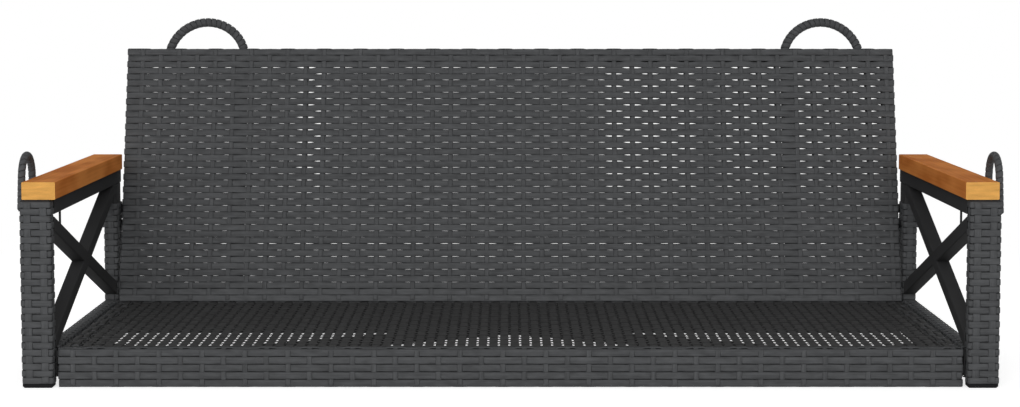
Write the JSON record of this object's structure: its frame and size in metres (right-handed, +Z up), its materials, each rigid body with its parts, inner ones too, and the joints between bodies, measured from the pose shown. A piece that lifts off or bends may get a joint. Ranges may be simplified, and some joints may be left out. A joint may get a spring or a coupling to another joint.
{
  "type": "porch swing",
  "caption": "Woven bench seat with a reclined woven back, braced side frames, wooden armrests and hanging loops, made to hang from ropes.",
  "frame": {"origin": "on the floor, under the middle of the whole swing", "axes": "+X along the bench to a viewer's right, +Y to the rear, +Z up"},
  "size_m": [1.531, 0.6648, 0.5624],
  "materials": {
    "woven_strand": "dark grey flat plastic strand, plain weave",
    "black_steel": "black powder coat, satin",
    "oiled_wood": "oiled hardwood, long grain",
    "black_plastic": "moulded",
    "zinc_steel": "black zinc plated"
  },
  "bodies": {
    "root": {"arm_rail_caps": "black_plastic", "arm_screws": "zinc_steel", "back_bottom_rail": "black_steel", "back_left_inner_stile": "black_steel", "back_left_loop": "black_steel", "back_left_loop_wrap": "woven_strand", "back_left_stile": "black_steel", "back_right_inner_stile": "black_steel", "back_right_loop": "black_steel", "back_right_loop_wrap": "woven_strand", "back_right_stile": "black_steel", "back_top_rail": "black_steel", "back_weave": "woven_strand", "bolt_nuts": "zinc_steel", "bolt_washers": "zinc_steel", "brace_stays": "black_steel", "frame_bolts": "zinc_steel", "front_feet": "black_plastic", "left_arm_rail": "black_steel", "left_armrest": "oiled_wood", "left_bottom_rail": "black_steel", "left_bottom_rail_weave": "woven_strand", "left_front_loop": "black_steel", "left_front_post": "black_steel", "left_front_post_weave": "woven_strand", "left_long_brace": "black_steel", "left_lower_cross_brace": "black_steel", "left_rear_post": "black_steel", "left_rear_post_weave": "woven_strand", "left_upper_cross_brace": "black_steel", "rear_feet": "black_plastic", "right_arm_rail": "black_steel", "right_armrest": "oiled_wood", "right_bottom_rail": "black_steel", "right_bottom_rail_weave": "woven_strand", "right_front_loop": "black_steel", "right_front_post": "black_steel", "right_front_post_weave": "woven_strand", "right_long_brace": "black_steel", "right_lower_cross_brace": "black_steel", "right_rear_post": "black_steel", "right_rear_post_weave": "woven_strand", "right_upper_cross_brace": "black_steel", "seat_cross_front": "black_steel", "seat_cross_rear": "black_steel", "seat_diagonal": "black_steel", "seat_front_rail": "black_steel", "seat_front_weave": "woven_strand", "seat_left_corner_brace": "black_steel", "seat_left_rail": "black_steel", "seat_left_weave": "woven_strand", "seat_rear_rail": "black_steel", "seat_rear_weave": "woven_strand", "seat_right_corner_brace": "black_steel", "seat_right_rail": "black_steel", "seat_right_weave": "woven_strand", "seat_top_weave": "woven_strand", "side_spacers": "zinc_steel"}
  },
  "joints": []
}
